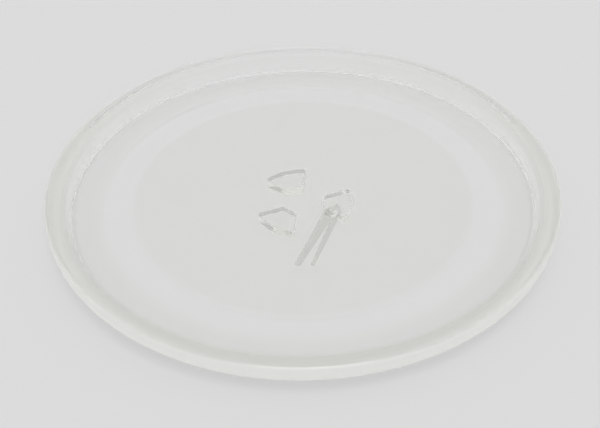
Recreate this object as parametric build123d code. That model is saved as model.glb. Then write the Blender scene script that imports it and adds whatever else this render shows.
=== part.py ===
# Turntable plate for a microwave oven: one piece of clear pressed glass.
# Millimetres, +Z up. The origin is on the plate's axis, at the level of the lug feet.
import math
import os

from build123d import *

os.makedirs("parts", exist_ok=True)

# Plate
plate_diameter = 245.0  # over the outer wall
base_thickness = 4.0  # middle of the base

# Rim: a solid lip round the dish, its top sloping down to the dish, with a full round heel
rim_rise = 9.0  # outer corner of the top above the dish floor, before it is rounded
rim_width = 10.0  # across the top, before it is rounded
rim_fall = 2.6  # inner edge of the top below its outer corner
rim_edge_round = 1.6
rim_inner_round = 1.5
wall_lean = 2.0  # foot of the inner wall stands this far inside its top
wall_foot_round = 3.0
rim_heel_round = 9.2

# Roller track: a shallow band round the underside
track_inner_radius = 82.0
track_outer_radius = 98.0
track_depth = 0.2
track_step_width = 3.0
track_step_round = 12.0

# Drive lugs, equally spaced, the first on the +X side
lug_count = 3
lug_height = 4.9
lug_inner_radius = 10.0  # flat inner end
lug_outer_radius = 24.0  # curved outer end
lug_inner_width = 8.5
lug_outer_width = 22.0
lug_corner_round = 1.6
lug_draft = 7.0  # degrees
lug_foot_round = 0.6
lug_root_round = 1.0

# Shear mark: a hairpin groove in the dish floor, left by the shears that cut the hot glass
mark_depth = 0.45
mark_slope = 45.0  # of the groove's sides, degrees from upright
mark_head_radius = 20.5  # place of the eye: distance from the axis
mark_head_angle = -34.8  # and direction from it, degrees
mark_lean = 78.0  # direction from the legs to the eye, degrees
mark_eye_length = 5.8
mark_eye_width = 2.4
mark_fork_length = 5.1  # eye to the fork of the legs
mark_fork_shift = 0.3  # fork to the broad leg's side of the eye
mark_broad_length = 40.3  # eye to the end of the broad leg
mark_broad_width = 3.0
mark_broad_shift = 4.5  # eye to the middle of that end, sideways
mark_broad_shoulder = 5.4  # eye to the broad leg's outer side
mark_fine_length = 38.1  # eye to the end of the fine leg
mark_fine_width = 1.6
mark_fine_shift = 2.1  # eye to the middle of that end, sideways
mark_tip_length = 9.2  # eye to the pointed tip
mark_tip_shift = 1.9  # tip to the broad leg's side of the eye

# Largest share of a wall that one rounding may take, so that two on the same wall never meet
large_share = 0.7
edge_share = 0.45
small_share = 0.28

# Levels
under_level = lug_height
floor_level = under_level + base_thickness
crest_level = floor_level + rim_rise
rim_inner_level = crest_level - rim_fall
track_level = under_level + track_depth

# Radii of the section's corners
plate_radius = plate_diameter / 2
rim_inner_radius = plate_radius - rim_width
wall_foot_radius = rim_inner_radius - wall_lean
step_outer_radius = track_outer_radius - track_step_width
step_inner_radius = track_inner_radius + track_step_width

# Roundings, limited by the walls that they lie on
inner_wall_height = rim_inner_level - floor_level
outer_wall_height = crest_level - under_level
foot_round = min(wall_foot_round, large_share * inner_wall_height)
inner_round = min(rim_inner_round, edge_share * rim_width, small_share * inner_wall_height)
edge_turn = math.pi / 2 + math.atan2(rim_fall, rim_width)
edge_room = min(edge_share * rim_width, small_share * outer_wall_height)
edge_round = min(rim_edge_round, edge_room / math.tan(edge_turn / 2))
heel_round = min(rim_heel_round, large_share * outer_wall_height)
step_turn = math.atan2(track_depth, track_step_width)
track_flat = step_outer_radius - step_inner_radius
step_round = min(track_step_round, edge_share * min(track_flat, track_step_width) / math.tan(step_turn / 2))


def plate_body():
    # Radius, level and rounding of each corner, from the axis over the top and back underneath
    corners = [
        (0, floor_level, 0),
        (wall_foot_radius, floor_level, foot_round),
        (rim_inner_radius, rim_inner_level, inner_round),
        (plate_radius, crest_level, edge_round),
        (plate_radius, under_level, heel_round),
        (track_outer_radius, under_level, step_round),
        (step_outer_radius, track_level, step_round),
        (step_inner_radius, track_level, step_round),
        (track_inner_radius, under_level, step_round),
        (0, under_level, 0),
    ]
    points = [(radius, 0, level) for radius, level, _ in corners]
    rounds = [rounding for _, _, rounding in corners[1:-1]]
    outline = FilletPolyline(*points, radius=rounds)
    axis_line = Line(points[-1], points[0])
    section = make_face([*outline.edges(), axis_line])
    return revolve(section, Axis.Z)


def lug():
    half_inner = lug_inner_width / 2
    half_outer = lug_outer_width / 2
    shoulder = math.sqrt(lug_outer_radius**2 - half_outer**2)
    sides = Polyline(
        (shoulder, half_outer),
        (lug_inner_radius, half_inner),
        (lug_inner_radius, -half_inner),
        (shoulder, -half_outer),
    )
    outer_end = ThreePointArc((shoulder, -half_outer), (lug_outer_radius, 0), (shoulder, half_outer))
    plan = make_face([*sides.edges(), outer_end])
    plan = fillet(plan.vertices(), lug_corner_round)
    block = extrude(Pos(0, 0, under_level) * plan, amount=lug_height, dir=(0, 0, -1), taper=lug_draft)
    foot = block.faces().sort_by(Axis.Z)[0]
    return fillet(foot.edges(), lug_foot_round)


def lug_root_edges(plate):
    # Edges on the underside that reach no wider than one lug
    on_underside = plate.edges().filter_by_position(Axis.Z, under_level, under_level)
    return on_underside.filter_by(lambda edge: edge.bounding_box().diagonal < lug_outer_radius)


def shear_mark():
    # Drawn with the eye at the origin and the legs towards -X, then set in its place
    half_broad = mark_broad_width / 2
    half_fine = mark_fine_width / 2
    outline = Polyline(
        (mark_tip_length, mark_tip_shift),
        (0, mark_broad_shoulder),
        (-mark_broad_length, mark_broad_shift + half_broad),
        (-mark_broad_length, mark_broad_shift - half_broad),
        (-mark_fork_length, mark_fork_shift),
        (-mark_fine_length, -mark_fine_shift + half_fine),
        (-mark_fine_length, -mark_fine_shift - half_fine),
        (mark_eye_length / 2, -mark_eye_width / 2 - mark_fine_width),
        close=True,
    )
    plan = make_face(outline) - SlotOverall(mark_eye_length, mark_eye_width)
    cutter = extrude(plan, amount=mark_depth, dir=(0, 0, -1), taper=mark_slope)
    turned = Rot(0, 0, mark_lean - mark_head_angle) * cutter
    return Rot(0, 0, mark_head_angle) * Pos(mark_head_radius, 0, floor_level) * turned


lugs = [Rot(0, 0, index * 360 / lug_count) * lug() for index in range(lug_count)]
plate = plate_body() + lugs
plate = fillet(lug_root_edges(plate), lug_root_round)
plate -= shear_mark()
export_step(plate, "parts/turntable_plate.step")
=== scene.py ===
import math

import bpy
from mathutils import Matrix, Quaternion, Vector
from mathutils.geometry import delaunay_2d_cdt


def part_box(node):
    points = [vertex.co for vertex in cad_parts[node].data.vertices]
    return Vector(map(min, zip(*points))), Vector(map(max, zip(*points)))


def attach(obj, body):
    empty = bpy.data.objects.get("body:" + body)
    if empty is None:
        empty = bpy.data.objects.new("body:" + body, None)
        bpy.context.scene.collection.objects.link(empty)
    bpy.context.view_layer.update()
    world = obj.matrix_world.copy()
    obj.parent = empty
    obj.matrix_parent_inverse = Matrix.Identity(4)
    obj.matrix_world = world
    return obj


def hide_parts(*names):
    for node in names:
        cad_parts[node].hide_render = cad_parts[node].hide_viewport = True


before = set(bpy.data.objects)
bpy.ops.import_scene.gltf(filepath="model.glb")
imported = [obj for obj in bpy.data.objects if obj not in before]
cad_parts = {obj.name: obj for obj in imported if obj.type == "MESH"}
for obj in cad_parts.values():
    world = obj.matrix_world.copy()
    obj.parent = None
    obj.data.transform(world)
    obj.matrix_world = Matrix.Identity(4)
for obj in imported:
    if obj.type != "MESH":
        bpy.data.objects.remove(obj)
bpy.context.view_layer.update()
scene = bpy.context.scene
mm = 0.001
plateLow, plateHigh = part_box("turntable_plate")
print("frame loaded")


# Rounded outlines. An outline is a list of arcs, and the straight runs join their ends.
# Each arc is (middle, radius, first angle, last angle, side), and side is 1 where it bulges outwards.
def cornerArc(before, corner, after, rounding):
    toBefore = (before - corner).normalized()
    toAfter = (after - corner).normalized()
    halfAngle = toBefore.angle(toAfter) / 2
    middle = corner + (toBefore + toAfter).normalized() * rounding / math.sin(halfAngle)
    turn = (corner - before).cross(after - corner)
    side = 1 if turn > 0 else -1
    tangent = rounding / math.tan(halfAngle)
    start = corner + toBefore * tangent - middle
    end = corner + toAfter * tangent - middle
    first = math.atan2(start.y, start.x)
    sweep = math.atan2(start.cross(end), start.dot(end))
    return middle, rounding, first, first + sweep, side


def cornerArcs(corners):
    arcs = []
    for index, (x, y, rounding) in enumerate(corners):
        before = Vector(corners[index - 1][:2])
        after = Vector(corners[(index + 1) % len(corners)][:2])
        arcs.append(cornerArc(before, Vector((x, y)), after, rounding))
    return arcs


def outlineLoop(arcs, inset, steps):
    # points and outward directions of the outline, moved into the shape by inset
    loop = []
    for middle, radius, first, last, side in arcs:
        for step in range(steps + 1):
            angle = first + (last - first) * step / steps
            ray = Vector((math.cos(angle), math.sin(angle)))
            loop.append((middle + ray * (radius - side * inset), ray * side))
    apart = 1e-5  # arcs that meet share one point
    return [spot for before, spot in zip(loop[-1:] + loop, loop) if (spot[0] - before[0]).length > apart]


def turned(vector, angle):
    c, s = math.cos(angle), math.sin(angle)
    return Vector((c * vector.x - s * vector.y, s * vector.x + c * vector.y))


# The mesh is collected here: points, then faces with the normal of each corner.
body = {"points": [], "faces": [], "normals": [], "finishes": []}
clearFinish, markFinish = 0.0, 1.0


def addPoint(x, y, z):
    body["points"].append((x * mm, y * mm, z * mm))
    return len(body["points"]) - 1


def addFace(corners, normals, finish=clearFinish):
    body["faces"].append(corners)
    body["normals"].extend(normals)
    body["finishes"].append(finish)


def addBand(ringA, normalsA, ringB, normalsB, finish=clearFinish):
    # quads between two closed rings of the same count, A to the left of B as the ring runs
    count = len(ringA)
    for index in range(count):
        after = (index + 1) % count
        addFace((ringA[index], ringB[index], ringB[after], ringA[after]),
                (normalsA[index], normalsB[index], normalsB[after], normalsA[after]), finish)


def onGround(spot, points, edges):
    # a line from the spot crosses the rings an odd number of times
    crossings = 0
    for first, second in edges:
        a, b = points[first], points[second]
        if (a.y > spot.y) != (b.y > spot.y):
            crossings += spot.x < a.x + (b.x - a.x) * (spot.y - a.y) / (b.y - a.y)
    return crossings % 2 == 1


def addFlat(rings, facing, finish=clearFinish):
    # flat ground between an outer ring and the rings inside it
    indexes = [index for ring in rings for index in ring]
    flatPoints = [Vector(body["points"][index][:2]) for index in indexes]
    edges = []
    start = 0
    for ring in rings:
        edges += [(start + k, start + (k + 1) % len(ring)) for k in range(len(ring))]
        start += len(ring)
    allTriangles, closeness = 0, 1e-9
    points, _, faces, origins, _, _ = delaunay_2d_cdt(flatPoints, edges, [], allTriangles, closeness)
    normal = (0, 0, facing)
    for face in faces:
        middle = sum((points[k] for k in face), Vector((0, 0))) / len(face)
        if not onGround(middle, flatPoints, edges):
            continue
        corners = [indexes[origins[k][0]] for k in face]
        if facing < 0:
            corners.reverse()
        addFace(corners, [normal] * len(corners), finish)


# Section of the plate in millimetres, lathed round the axis
section = {
    "underLevel": 4.9,  # the underside, above the feet of the lugs
    "baseThickness": 4.0, "rimRise": 9.0, "lipWidth": 10.0, "lipFall": 2.6,
    "lipEdgeRound": 1.6, "lipInnerRound": 1.5, "wallLean": 2.0, "wallFootRound": 3.0, "heelRound": 9.2,
    "trackInner": 82.0, "trackOuter": 98.0, "trackDepth": 0.2, "trackStep": 3.0, "trackStepRound": 12.0,
    "markGround": 62.0,  # the dish floor inside this radius holds the shear mark
    "lugGround": 40.0,  # and the underside inside this one the lugs
    "aroundSteps": 384, "arcSteps": 9,
}
plateRadius = min(-plateLow.x, -plateLow.y, plateHigh.x, plateHigh.y) / mm
underLevel = section["underLevel"]
floorLevel = underLevel + section["baseThickness"]


def sectionPoints():
    # radius, level and normal of each point, from the dish floor over the rim to the underside
    crest = floorLevel + section["rimRise"]
    lipInner = plateRadius - section["lipWidth"]
    trackLevel = underLevel + section["trackDepth"]
    stepRound = section["trackStepRound"]
    corners = [
        (section["markGround"], floorLevel, 0),
        (lipInner - section["wallLean"], floorLevel, section["wallFootRound"]),
        (lipInner, crest - section["lipFall"], section["lipInnerRound"]),
        (plateRadius, crest, section["lipEdgeRound"]),
        (plateRadius, underLevel, section["heelRound"]),
        (section["trackOuter"], underLevel, stepRound),
        (section["trackOuter"] - section["trackStep"], trackLevel, stepRound),
        (section["trackInner"] + section["trackStep"], trackLevel, stepRound),
        (section["trackInner"], underLevel, stepRound),
        (section["lugGround"], underLevel, 0),
    ]
    points = [(corners[0][0], corners[0][1], 0, 1)]
    steps = section["arcSteps"]
    for index in range(1, len(corners) - 1):
        before, corner, after = (Vector(corners[k][:2]) for k in (index - 1, index, index + 1))
        middle, radius, first, last, side = cornerArc(before, corner, after, corners[index][2])
        outward = -side  # the path runs with the glass on its right
        for step in range(steps + 1):
            angle = first + (last - first) * step / steps
            ray = Vector((math.cos(angle), math.sin(angle)))
            point = middle + ray * radius
            points.append((point.x, point.y, ray.x * outward, ray.y * outward))
    points.append((corners[-1][0], corners[-1][1], 0, -1))
    return points


def addRim():
    # gives back the rings that bound the dish floor and the underside
    count = section["aroundSteps"]
    turns = [(math.cos(2 * math.pi * k / count), math.sin(2 * math.pi * k / count)) for k in range(count)]
    rings, normals = [], []
    for radius, level, outward, upward in sectionPoints():
        rings.append([addPoint(radius * c, radius * s, level) for c, s in turns])
        normals.append([(outward * c, outward * s, upward) for c, s in turns])
    for k in range(len(rings) - 1):
        addBand(rings[k], normals[k], rings[k + 1], normals[k + 1])
    return rings[0], rings[-1]


# Drive lugs
lug = {
    "count": 3, "innerRadius": 10.0, "outerRadius": 24.0, "innerWidth": 8.5, "outerWidth": 22.0,
    "cornerRound": 1.6, "draft": 7.0, "footRound": 0.6, "rootRound": 1.0, "arcSteps": 8, "endSteps": 24,
}


def lugArcs():
    halfInner, halfOuter = lug["innerWidth"] / 2, lug["outerWidth"] / 2
    outer, rounding = lug["outerRadius"], lug["cornerRound"]
    innerCorner = Vector((lug["innerRadius"], halfInner))
    shoulder = Vector((math.sqrt(outer**2 - halfOuter**2), halfOuter))
    along = (shoulder - innerCorner).normalized()
    aside = Vector((along.y, -along.x))  # from the side into the lug
    # middle of the outer corner: inside the side and inside the curved end by the rounding
    foot = innerCorner + aside * rounding
    reach = foot.dot(along)
    distance = -reach + math.sqrt(reach**2 - foot.length_squared + (outer - rounding)**2)
    middle = foot + along * distance
    endAngle = math.atan2(middle.y, middle.x)
    sideAngle = math.atan2(-aside.y, -aside.x)
    mirror = Vector((middle.x, -middle.y))
    lowCorner = Vector((innerCorner.x, -innerCorner.y))
    lowShoulder = Vector((shoulder.x, -shoulder.y))
    return [
        (mirror, rounding, -sideAngle, -endAngle, 1),
        (Vector((0, 0)), outer, -endAngle, endAngle, 1),
        (middle, rounding, endAngle, sideAngle, 1),
        cornerArc(shoulder, innerCorner, lowCorner, rounding),
        cornerArc(innerCorner, lowCorner, lowShoulder, rounding),
    ]


def lugSteps():
    # inset, level and tilt of each ring, from the root on the underside to the foot
    draft = math.radians(lug["draft"])
    root, foot, steps = lug["rootRound"], lug["footRound"], lug["arcSteps"]
    wall = math.pi / 2 - draft  # how far a rounding turns
    rings = []
    rootReach = root * math.tan(wall / 2)
    for step in range(steps + 1):
        turn = wall * step / steps
        rings.append((-rootReach + root * math.sin(turn), underLevel - root * (1 - math.cos(turn)), turn))
    lean = underLevel * math.tan(draft)
    footReach = foot * math.tan(wall / 2)
    for step in range(steps + 1):
        turn = wall * (1 - step / steps)
        rings.append((lean + footReach - foot * math.sin(turn), foot * (1 - math.cos(turn)), turn))
    return rings


def addLug(direction):
    # gives back the ring of its root
    arcs = lugArcs()
    rings, normals = [], []
    for inset, level, tilt in lugSteps():
        ring, ringNormals = [], []
        for point, ray in outlineLoop(arcs, inset, lug["endSteps"]):
            place, outward = turned(point, direction), turned(ray, direction) * math.sin(tilt)
            ring.append(addPoint(place.x, place.y, level))
            ringNormals.append((outward.x, outward.y, -math.cos(tilt)))
        rings.append(ring)
        normals.append(ringNormals)
    for k in range(len(rings) - 1):
        addBand(rings[k], normals[k], rings[k + 1], normals[k + 1])
    addFlat([rings[-1]], -1)
    return rings[0]


# Shear mark: a hairpin groove in the dish floor
mark = {
    "depth": 0.45, "slope": 45.0, "eyePlace": 20.5, "eyeDirection": -34.8, "lean": 78.0,
    "eyeWidth": 2.4, "eyeLength": 5.8, "forkLength": 5.1, "forkShift": 0.3,
    "broadLength": 40.3, "broadShift": 4.5, "broadWidth": 3.0, "broadShoulder": (0.0, 5.4),
    "fineLength": 38.1, "fineShift": -2.1, "fineWidth": 1.6, "tipLength": 9.2, "tipShift": 1.9,
    "tipRound": 0.8, "shoulderRound": 3.0, "endRound": 0.7, "forkRound": 0.05,  # corners of its plan
    "edgeRound": 0.1,  # edges of the groove
    "arcSteps": 6, "edgeSteps": 3,
}


def markCorners():
    # drawn with the eye at the origin and the legs towards -X
    halfBroad, halfFine = mark["broadWidth"] / 2, mark["fineWidth"] / 2
    return [
        (mark["tipLength"], mark["tipShift"], mark["tipRound"]),
        (*mark["broadShoulder"], mark["shoulderRound"]),
        (-mark["broadLength"], mark["broadShift"] + halfBroad, mark["endRound"]),
        (-mark["broadLength"], mark["broadShift"] - halfBroad, mark["endRound"]),
        (-mark["forkLength"], mark["forkShift"], mark["forkRound"]),
        (-mark["fineLength"], mark["fineShift"] + halfFine, mark["endRound"]),
        (-mark["fineLength"], mark["fineShift"] - halfFine, mark["endRound"]),
        (mark["eyeLength"] / 2, -mark["eyeWidth"] / 2 - mark["fineWidth"], mark["shoulderRound"]),
    ]


def eyeArcs():
    # a slot along the legs, run the other way round
    rounding = mark["eyeWidth"] / 2
    reach = mark["eyeLength"] / 2 - rounding
    quarter = math.pi / 2
    return [(Vector((side * reach, 0)), rounding, -k * quarter, -(k + 1) * quarter, -1)
            for k, side in enumerate((1, -1, -1, 1))]


def markSteps():
    # inset, drop and tilt of each ring, from the dish floor to the bottom of the groove
    slope, rounding, steps = math.radians(90 - mark["slope"]), mark["edgeRound"], mark["edgeSteps"]
    reach = rounding * math.tan(slope / 2)
    run = mark["depth"] / math.tan(slope)
    rings = []
    for step in range(steps + 1):
        turn = slope * step / steps
        rings.append((-reach + rounding * math.sin(turn), rounding * (1 - math.cos(turn)), turn))
    for step in range(steps + 1):
        turn = slope * (1 - step / steps)
        drop = mark["depth"] - rounding * (1 - math.cos(turn))
        rings.append((run + reach - rounding * math.sin(turn), drop, turn))
    return rings


def addMarkWall(arcs):
    # gives back the rings at the dish floor and at the bottom of the groove
    lean = math.radians(mark["lean"])
    eye = turned(Vector((mark["eyePlace"], 0)), math.radians(mark["eyeDirection"]))
    rings, normals = [], []
    for inset, drop, tilt in markSteps():
        ring, ringNormals = [], []
        for point, ray in outlineLoop(arcs, inset, mark["arcSteps"]):
            place, outward = eye + turned(point, lean), turned(ray, lean) * math.sin(tilt)
            ring.append(addPoint(place.x, place.y, floorLevel - drop))
            ringNormals.append((-outward.x, -outward.y, math.cos(tilt)))
        rings.append(ring)
        normals.append(ringNormals)
    for k in range(len(rings) - 1):
        addBand(rings[k + 1], normals[k + 1], rings[k], normals[k], markFinish)
    return rings[0], rings[-1]


def buildPlate():
    dishRing, underRing = addRim()
    roots = [addLug(2 * math.pi * k / lug["count"]) for k in range(lug["count"])]
    addFlat([underRing] + roots, -1)
    edge, bottom = addMarkWall(cornerArcs(markCorners()))
    eyeEdge, eyeBottom = addMarkWall(eyeArcs())
    addFlat([dishRing, edge], 1)
    addFlat([eyeEdge], 1)
    addFlat([bottom, eyeBottom], 1, markFinish)
    mesh = bpy.data.meshes.new("glassPlate")
    mesh.from_pydata(body["points"], [], body["faces"])
    mesh.polygons.foreach_set("use_smooth", [True] * len(mesh.polygons))
    mesh.attributes.new("shearMark", "FLOAT", "FACE").data.foreach_set("value", body["finishes"])
    mesh.normals_split_custom_set(body["normals"])
    piece = bpy.data.objects.new("glassPlate", mesh)
    scene.collection.objects.link(piece)
    print("plate built:", len(mesh.polygons), "faces")
    return piece


# Shader nodes
def feedSocket(tree, socket, value):
    # with another node's result or with a fixed value
    if isinstance(value, bpy.types.NodeSocket):
        tree.links.new(value, socket)
    else:
        socket.default_value = value


def mathNode(tree, operation, *values):
    node = tree.nodes.new("ShaderNodeMath")
    node.operation = operation
    for socket, value in zip(node.inputs, values):
        feedSocket(tree, socket, value)
    return node.outputs[0]


def dotNode(tree, vector, direction):
    node = tree.nodes.new("ShaderNodeVectorMath")
    node.operation = "DOT_PRODUCT"
    tree.links.new(vector, node.inputs[0])
    node.inputs[1].default_value = direction
    return node.outputs["Value"]


def rampNode(tree, value, low, high, lowResult=0, highResult=1):
    node = tree.nodes.new("ShaderNodeMapRange")
    node.interpolation_type = "SMOOTHSTEP"
    tree.links.new(value, node.inputs["Value"])
    limits = {"From Min": low, "From Max": high, "To Min": lowResult, "To Max": highResult}
    for name, number in limits.items():
        node.inputs[name].default_value = number
    return node.outputs["Result"]


def mixColour(tree, factor, first, second):
    node = tree.nodes.new("ShaderNodeMix")
    node.data_type = "RGBA"
    colourA, colourB, colourResult = node.inputs[6], node.inputs[7], node.outputs[2]
    for socket, value in ((node.inputs["Factor"], factor), (colourA, first), (colourB, second)):
        feedSocket(tree, socket, value)
    return colourResult


def radiusNode(tree, place, middle):
    # distance from an upright line, in millimetres
    shift = tree.nodes.new("ShaderNodeVectorMath")
    shift.operation = "MULTIPLY_ADD"
    tree.links.new(place, shift.inputs[0])
    shift.inputs[1].default_value = (1, 1, 0)
    shift.inputs[2].default_value = [-value * mm for value in middle]
    length = tree.nodes.new("ShaderNodeVectorMath")
    length.operation = "LENGTH"
    tree.links.new(shift.outputs[0], length.inputs[0])
    return mathNode(tree, "DIVIDE", length.outputs["Value"], mm)


# Glass. Each pair of lengths is where a mask begins and ends, in millimetres.
glass = {
    "index": 1.5, "bodyTint": (0.72, 0.745, 0.66, 1), "bodyDensity": 4.0,
    "tint": (0.978, 0.982, 0.957, 1), "cloudTint": (0.966, 0.972, 0.945, 1),
    "cloudScale": 45.0, "cloudDetail": 4.0,
    "ringTint": (0.999, 0.999, 0.997, 1),  # the lighter band over the roller track
    "ringInner": (79.0, 84.0), "ringOuter": (94.0, 99.0),
    # painted shade: a neutral darker band inside the rim, standing in for the rim's shadow on the table
    # seen through the glass
    "outerShadeTint": (0.955, 0.955, 0.947, 1), "outer": (98.0, 103.0),
    # the rim's yellow-green is partly the glass's own tint and partly painted shade, stronger towards the
    # near side
    "rimTintAndShade": (0.975, 0.98, 0.94, 1), "rim": (110.0, 118.0), "rimMiddle": (-0.8, 6.0, 0.0),
    # painted shade: the near lip darker and yellower than the clear far lip; its yellow is partly the
    # glass's own tint
    "lipTintAndShade": (0.988, 0.993, 0.955, 1), "farLipUnshadedTint": (0.999, 0.999, 0.997, 1), "lip": (113.0, 115.0),
    "lipRoughness": 0.28, "lipReach": (-135.0, -40.0),  # from the far lip to the near one
    "crest": (16.3, 16.9),  # on the far lip only the crest is frosted
    "markTint": (0.7, 0.71, 0.67, 1), "markRoughness": 0.15,
    "lugRoughness": 0.1, "lugTop": (3.7, 4.7), "lugEdge": (30.0, 45.0),
    "lastBounce": 2.5, "caughtLoss": 0.02, "lugCaughtLoss": 0.09,
    "baseShade": 0.004, "rimShade": 0.08, "steepShade": 0.15, "steepPower": 3.0,
    "shadeFrom": (0.14, -0.99, 0.0), "shadeReach": (-140.0, 80.0),  # towards the near side
}


def glassMasks(tree):
    # how much of each finish a spot on the plate has, and its distance from the axis
    place = tree.nodes.new("ShaderNodeTexCoord").outputs["Object"]
    radius = radiusNode(tree, place, (0, 0, 0))
    level = mathNode(tree, "DIVIDE", dotNode(tree, place, (0, 0, 1)), mm)
    side = mathNode(tree, "DIVIDE", dotNode(tree, place, glass["shadeFrom"]), mm)
    rim = rampNode(tree, radiusNode(tree, place, glass["rimMiddle"]), *glass["rim"])
    lip = rampNode(tree, radius, *glass["lip"])
    # mask of the near lip, for the painted shade in its tint and for its frost
    nearLipShadeAndFrost = rampNode(tree, side, *glass["lipReach"])
    frosted = mathNode(tree, "MAXIMUM", nearLipShadeAndFrost, rampNode(tree, level, *glass["crest"]))
    groove = tree.nodes.new("ShaderNodeAttribute")
    groove.attribute_name = "shearMark"
    clouds = tree.nodes.new("ShaderNodeTexNoise")
    clouds.inputs["Scale"].default_value = glass["cloudScale"]
    clouds.inputs["Detail"].default_value = glass["cloudDetail"]
    tree.links.new(place, clouds.inputs["Vector"])
    return {
        "radius": radius, "groove": groove.outputs["Fac"], "clouds": clouds.outputs["Fac"],
        "ring": mathNode(tree, "MULTIPLY", rampNode(tree, radius, *glass["ringInner"]),
                         rampNode(tree, radius, *glass["ringOuter"], 1, 0)),
        "outer": rampNode(tree, radius, *glass["outer"]),
        # near rim: painted shade in the tint, and more shade on light passing to the table
        "nearRimShade": mathNode(tree, "MULTIPLY", rim, rampNode(tree, side, *glass["shadeReach"])),
        "lip": lip, "nearLipShadeAndFrost": nearLipShadeAndFrost, "frost": mathNode(tree, "MULTIPLY", lip, frosted),
        "lug": rampNode(tree, level, *glass["lugTop"], 1, 0),
    }


def glassTint(tree, masks):
    # painted shade: the lip goes from clear on the far side to darker on the near side
    lipTintAndShade = mixColour(tree, masks["nearLipShadeAndFrost"], glass["farLipUnshadedTint"], glass["lipTintAndShade"])
    tint = mixColour(tree, masks["clouds"], glass["tint"], glass["cloudTint"])
    # the outer band, the near rim and the lip layers carry painted shade
    layers = (("ring", glass["ringTint"]), ("outer", glass["outerShadeTint"]), ("nearRimShade", glass["rimTintAndShade"]),
              ("lip", lipTintAndShade), ("groove", glass["markTint"]))
    for name, colour in layers:
        tint = mixColour(tree, masks[name], tint, colour)
    return tint


def glassRoughness(tree, masks):
    roughness = mathNode(tree, "MULTIPLY", masks["frost"], glass["lipRoughness"])
    roughness = mathNode(tree, "MULTIPLY_ADD", masks["groove"], glass["markRoughness"], roughness)
    return mathNode(tree, "MULTIPLY_ADD", masks["lug"], glass["lugRoughness"], roughness)


def straightPath(tree, masks):
    # gives back where light goes straight through, and the shader for it
    path = tree.nodes.new("ShaderNodeLightPath")
    # light on its way to the table goes straight through, less where the glass is steep or thick
    lit = mathNode(tree, "MAXIMUM", path.outputs["Is Shadow Ray"], path.outputs["Is Diffuse Ray"])
    facing = tree.nodes.new("ShaderNodeLayerWeight").outputs["Facing"]
    steep = mathNode(tree, "POWER", facing, glass["steepPower"])
    shade = mathNode(tree, "MULTIPLY_ADD", steep, glass["steepShade"], glass["baseShade"])
    shade = mathNode(tree, "MULTIPLY_ADD", masks["nearRimShade"], glass["rimShade"], shade)
    # light that is caught inside leaves after a few bounces
    caught = mathNode(tree, "GREATER_THAN", path.outputs["Glossy Depth"], glass["lastBounce"])
    caughtLoss = rampNode(tree, masks["radius"], *glass["lugEdge"],
                          glass["lugCaughtLoss"], glass["caughtLoss"])
    loss = mathNode(tree, "MULTIPLY_ADD", caught, caughtLoss, mathNode(tree, "MULTIPLY", lit, shade))
    straight = tree.nodes.new("ShaderNodeBsdfTransparent")
    tree.links.new(mathNode(tree, "SUBTRACT", 1.0, loss), straight.inputs["Color"])
    return mathNode(tree, "MAXIMUM", caught, lit), straight.outputs[0]


def glassMaterial():
    material = bpy.data.materials.new("clearGlass")
    material.use_nodes = True
    tree = material.node_tree
    nodes, links = tree.nodes, tree.links
    masks = glassMasks(tree)
    shader = nodes["Principled BSDF"]
    links.new(glassTint(tree, masks), shader.inputs["Base Color"])
    links.new(glassRoughness(tree, masks), shader.inputs["Roughness"])
    shader.inputs["IOR"].default_value = glass["index"]
    shader.inputs["Transmission Weight"].default_value = 1
    where, straight = straightPath(tree, masks)
    choice = nodes.new("ShaderNodeMixShader")
    links.new(where, choice.inputs["Fac"])
    links.new(shader.outputs[0], choice.inputs[1])
    links.new(straight, choice.inputs[2])
    links.new(choice.outputs[0], nodes["Material Output"].inputs["Surface"])
    depth = nodes.new("ShaderNodeVolumeAbsorption")
    depth.inputs["Color"].default_value = glass["bodyTint"]
    depth.inputs["Density"].default_value = glass["bodyDensity"]
    links.new(depth.outputs[0], nodes["Material Output"].inputs["Volume"])
    return material


plate = buildPlate()
plate.data.materials.append(glassMaterial())
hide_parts("turntable_plate")
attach(plate, "root")
print("glass set")

# Studio: a pale table, a pale room and one soft light from above, behind the camera
studio = {
    "floorSize": 6.0, "floorTone": 0.85, "floorGap": 0.05,  # a film of air under the feet, millimetres
    "roomTone": 0.346, "lightTone": 8.15, "lightSide": (0.1, -0.4, 1.0),
    "lightEdge": 20.0, "lightCore": 8.0,  # degrees from the middle of the light
    "sideTone": 0.85, "farTone": 0.775,  # the room, as the glass shows it
    "farSide": (-0.14, 0.99, 0.0), "farReach": (0.0, 0.9),
}


def addFloor():
    half = studio["floorSize"] / 2
    mesh = bpy.data.meshes.new("tableTop")
    corners = [(-half, -half, 0), (half, -half, 0), (half, half, 0), (-half, half, 0)]
    mesh.from_pydata(corners, [], [(0, 1, 2, 3)])
    floor = bpy.data.objects.new("tableTop", mesh)
    scene.collection.objects.link(floor)
    floor.location.z = plateLow.z - studio["floorGap"] * mm
    material = bpy.data.materials.new("paleTable")
    material.use_nodes = True
    shader = material.node_tree.nodes["Principled BSDF"]
    shader.inputs["Base Color"].default_value = (studio["floorTone"],) * 3 + (1,)
    shader.inputs["Roughness"].default_value = 1
    shader.inputs["Specular IOR Level"].default_value = 0
    mesh.materials.append(material)


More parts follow.
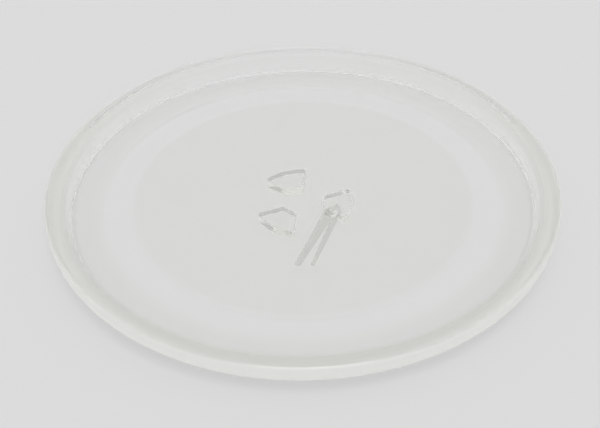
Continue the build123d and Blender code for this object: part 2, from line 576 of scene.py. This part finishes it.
def addSky():
    world = bpy.data.worlds.new("softLight")
    scene.world = world
    world.use_nodes = True
    tree = world.node_tree
    direction = tree.nodes.new("ShaderNodeTexCoord").outputs["Generated"]
    nearness = dotNode(tree, direction, Vector(studio["lightSide"]).normalized())
    edge, core = math.cos(math.radians(studio["lightEdge"])), math.cos(math.radians(studio["lightCore"]))
    light = rampNode(tree, nearness, edge, core, studio["roomTone"], studio["lightTone"])
    farness = dotNode(tree, direction, studio["farSide"])
    room = rampNode(tree, farness, *studio["farReach"], studio["sideTone"], studio["farTone"])
    path = tree.nodes.new("ShaderNodeLightPath")
    seen = mathNode(tree, "MAXIMUM", path.outputs["Is Glossy Ray"], path.outputs["Is Transmission Ray"])
    pick = tree.nodes.new("ShaderNodeMix")
    pick.data_type = "FLOAT"
    tree.links.new(seen, pick.inputs["Factor"])
    tree.links.new(light, pick.inputs["A"])
    tree.links.new(room, pick.inputs["B"])
    background = tree.nodes["Background"]
    background.inputs["Color"].default_value = (1, 1, 1, 1)
    tree.links.new(pick.outputs["Result"], background.inputs["Strength"])


addFloor()
addSky()
print("studio set")

# Camera, as the photograph was taken, in millimetres, degrees and pixels
camera = {
    "distance": 612.5, "elevation": 38.29, "azimuth": 8.0, "roll": -0.79,
    "aimLevel": 15.7, "aimPixel": (302.83, 184.95), "focalPixels": 1276.3,
    "frameWidth": 600, "frameHeight": 428, "sensor": 36.0, "nearClip": 10.0,
}


def addCamera():
    elevation, azimuth = math.radians(camera["elevation"]), math.radians(camera["azimuth"])
    back = Vector((math.sin(azimuth) * math.cos(elevation), -math.cos(azimuth) * math.cos(elevation),
                   math.sin(elevation)))
    lens = bpy.data.cameras.new("camera")
    lens.sensor_width = camera["sensor"]
    lens.lens = camera["focalPixels"] * camera["sensor"] / camera["frameWidth"]
    lens.clip_start = camera["nearClip"] * mm
    holder = bpy.data.objects.new("camera", lens)
    scene.collection.objects.link(holder)
    holder.location = Vector((0, 0, camera["aimLevel"] * mm)) + back * camera["distance"] * mm
    pixelX, pixelY = camera["aimPixel"]
    pan = math.atan((pixelX - camera["frameWidth"] / 2) / camera["focalPixels"])
    tip = math.atan((pixelY - camera["frameHeight"] / 2) / camera["focalPixels"])
    turn = (-back).to_track_quat("-Z", "Y") @ Quaternion((0, 1, 0), pan) @ Quaternion((1, 0, 0), tip)
    holder.rotation_mode = "QUATERNION"
    holder.rotation_quaternion = turn @ Quaternion((0, 0, 1), math.radians(camera["roll"]))
    scene.camera = holder


addCamera()
scene.view_settings.view_transform = "Standard"
scene.cycles.blur_glossy = 0  # sharp glass lets the floor's light through as it is
print("camera set")
